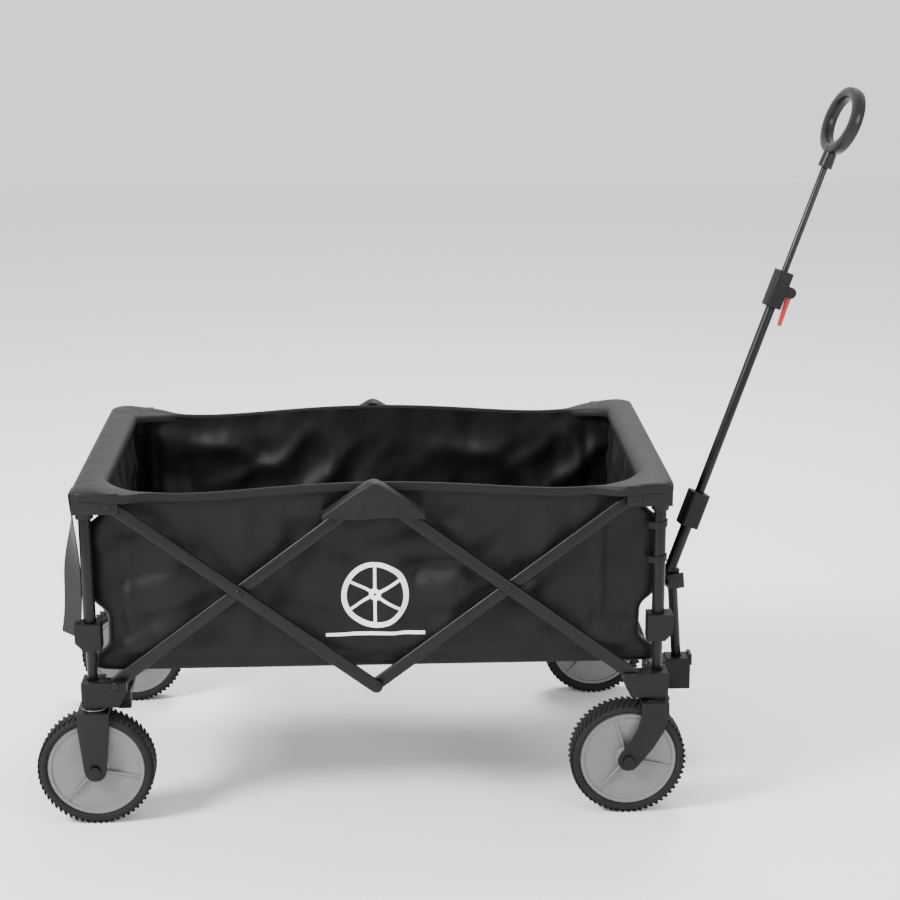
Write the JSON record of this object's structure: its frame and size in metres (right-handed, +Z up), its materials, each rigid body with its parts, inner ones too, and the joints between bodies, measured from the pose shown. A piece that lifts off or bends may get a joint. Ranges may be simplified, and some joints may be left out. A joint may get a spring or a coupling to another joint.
{
  "type": "folding camp wagon",
  "caption": "Folding camp wagon: open fabric bin in a scissor frame on fixed and caster wheels, with a tilting, telescoping pull handle.",
  "frame": {"origin": "on the ground under the middle of the whole object's length and width, handle included", "axes": "+X forward, towards the pull handle; +Y to the wagon's left; +Z up"},
  "size_m": [1.29, 0.5526, 1.0782],
  "materials": {
    "black_steel": "black powder coat, satin",
    "black_plastic": "moulded, fine grain",
    "grip_plastic": "smooth, half gloss",
    "red_plastic": "smooth, half gloss",
    "hub": "light grey, satin",
    "tyre": "matt black, shallow tread",
    "axle": "zinc plated",
    "bin_fabric": "coated woven polyester, soft sheen",
    "board_fabric": "woven cover over stiff boards",
    "webbing": "woven strap"
  },
  "bodies": {
    "rear_lower_frame": {"rear_lower_cross_bar": "black_steel", "rear_left_lower_bracket": "black_plastic", "rear_left_inner_post": "black_steel", "rear_left_fork": "black_steel", "rear_left_axle": "axle", "rear_right_lower_bracket": "black_plastic", "rear_right_inner_post": "black_steel", "rear_right_fork": "black_steel", "rear_right_axle": "axle"},
    "rear_upper_frame": {"rear_upper_cross_bar": "black_steel", "fabric_bin": "bin_fabric", "floor_boards": "board_fabric", "rear_tie_strap": "webbing", "rear_left_upper_bracket": "black_plastic", "rear_left_outer_post": "black_steel", "rear_left_post_collar": "black_plastic", "rear_right_upper_bracket": "black_plastic", "rear_right_outer_post": "black_steel", "rear_right_post_collar": "black_plastic"},
    "rear_inner_bars": {"left_rear_inner_bar": "black_steel", "right_rear_inner_bar": "black_steel"},
    "rear_outer_bars": {"left_rear_outer_bar": "black_steel", "right_rear_outer_bar": "black_steel"},
    "front_inner_bars": {"left_front_inner_bar": "black_steel", "right_front_inner_bar": "black_steel"},
    "front_outer_bars": {"left_front_outer_bar": "black_steel", "right_front_outer_bar": "black_steel"},
    "front_lower_frame": {"front_lower_cross_bar": "black_steel", "handle_foot_bracket": "black_plastic", "front_left_lower_bracket": "black_plastic", "front_left_inner_post": "black_steel", "front_right_lower_bracket": "black_plastic", "front_right_inner_post": "black_steel"},
    "front_upper_frame": {"front_upper_cross_bar": "black_steel", "front_left_upper_bracket": "black_plastic", "front_left_outer_post": "black_steel", "front_left_post_collar": "black_plastic", "front_right_upper_bracket": "black_plastic", "front_right_outer_post": "black_steel", "front_right_post_collar": "black_plastic"},
    "left_caster": {"front_left_caster_fork": "black_plastic", "front_left_axle": "axle"},
    "right_caster": {"front_right_caster_fork": "black_plastic", "front_right_axle": "axle"},
    "rear_left_wheel": {"rear_left_tyre": "tyre", "rear_left_hub": "hub"},
    "rear_right_wheel": {"rear_right_tyre": "tyre", "rear_right_hub": "hub"},
    "front_left_wheel": {"front_left_tyre": "tyre", "front_left_hub": "hub"},
    "front_right_wheel": {"front_right_tyre": "tyre", "front_right_hub": "hub"},
    "steering_stem": {"handle_stem": "black_steel"},
    "pole": {"handle_lower_pole": "black_steel", "handle_pole_collar": "black_plastic", "handle_middle_pole": "black_steel", "handle_latch": "black_plastic"},
    "latch_lever": {"handle_latch_lever": "red_plastic"},
    "upper_pole": {"handle_upper_pole": "black_steel", "handle_ring_grip": "grip_plastic"}
  },
  "joints": [
    {"name": "frame_fold", "type": "hinge", "parent": "rear_lower_frame", "child": "rear_inner_bars", "pos_m": [-0.52, 0, 0.224], "axis": [0, -1, 0], "range_deg": [0, 42], "deforming": ["fabric_bin", "floor_boards"]},
    {"name": "rear_crossing", "type": "hinge", "parent": "rear_inner_bars", "child": "rear_outer_bars", "pos_m": [-0.33099, 0, 0.366], "axis": [0, -1, 0], "range_deg": [-84, 0]},
    {"name": "rear_upper_pivot", "type": "hinge", "parent": "rear_outer_bars", "child": "rear_upper_frame", "pos_m": [-0.52, 0, 0.508], "axis": [0, -1, 0], "range_deg": [0, 42]},
    {"name": "upper_centre_pivot", "type": "hinge", "parent": "rear_inner_bars", "child": "front_outer_bars", "pos_m": [-0.128, 0, 0.5185], "axis": [0, -1, 0], "range_deg": [-84, 0]},
    {"name": "front_crossing", "type": "hinge", "parent": "front_outer_bars", "child": "front_inner_bars", "pos_m": [0.07499, 0, 0.366], "axis": [0, -1, 0], "range_deg": [0, 84]},
    {"name": "front_lower_pivot", "type": "hinge", "parent": "front_outer_bars", "child": "front_lower_frame", "pos_m": [0.264, 0, 0.224], "axis": [0, -1, 0], "range_deg": [0, 42]},
    {"name": "front_upper_pivot", "type": "hinge", "parent": "front_inner_bars", "child": "front_upper_frame", "pos_m": [0.264, 0, 0.508], "axis": [0, -1, 0], "range_deg": [-42, 0]},
    {"name": "left_caster_swivel", "type": "hinge", "parent": "front_lower_frame", "child": "left_caster", "pos_m": [0.3, 0.246, 0.19], "axis": [0, 0, 1], "continuous": true},
    {"name": "right_caster_swivel", "type": "hinge", "parent": "front_lower_frame", "child": "right_caster", "pos_m": [0.3, -0.246, 0.19], "axis": [0, 0, 1], "continuous": true},
    {"name": "rear_left_wheel_spin", "type": "hinge", "parent": "rear_lower_frame", "child": "rear_left_wheel", "pos_m": [-0.556, 0.246, 0.089], "axis": [0, 1, 0], "continuous": true},
    {"name": "front_left_wheel_spin", "type": "hinge", "parent": "left_caster", "child": "front_left_wheel", "pos_m": [0.257, 0.246, 0.089], "axis": [0, 1, 0], "continuous": true},
    {"name": "rear_right_wheel_spin", "type": "hinge", "parent": "rear_lower_frame", "child": "rear_right_wheel", "pos_m": [-0.556, -0.246, 0.089], "axis": [0, 1, 0], "continuous": true},
    {"name": "front_right_wheel_spin", "type": "hinge", "parent": "right_caster", "child": "front_right_wheel", "pos_m": [0.257, -0.246, 0.089], "axis": [0, 1, 0], "continuous": true},
    {"name": "handle_steer", "type": "hinge", "parent": "front_lower_frame", "child": "steering_stem", "pos_m": [0.372, 0, 0.103], "axis": [-0.0715, 0, 0.9974], "range_deg": [-55, 55]},
    {"name": "handle_tilt", "type": "hinge", "parent": "steering_stem", "child": "pole", "pos_m": [0.35827, 0, 0.29451], "axis": [-0.1646, 0.9863, -0.0118], "range_deg": [-14, 62]},
    {"name": "upper_pole_slide", "type": "slide", "parent": "pole", "child": "upper_pole", "axis": [-0.3429, -0.0684, -0.9369], "range_m": [0, 0.165]},
    {"name": "latch_lever_pivot", "type": "hinge", "parent": "pole", "child": "latch_lever", "pos_m": [0.53902, 0.03571, 0.7573], "axis": [0.1646, -0.9863, 0.0118], "range_deg": [0, 100]}
  ],
  "couplings": [
    {"joint": "rear_crossing", "follows": "frame_fold", "ratio": -2},
    {"joint": "rear_upper_pivot", "follows": "frame_fold", "ratio": 1},
    {"joint": "upper_centre_pivot", "follows": "frame_fold", "ratio": -2},
    {"joint": "front_crossing", "follows": "frame_fold", "ratio": 2},
    {"joint": "front_lower_pivot", "follows": "frame_fold", "ratio": 1},
    {"joint": "front_upper_pivot", "follows": "frame_fold", "ratio": -1}
  ]
}
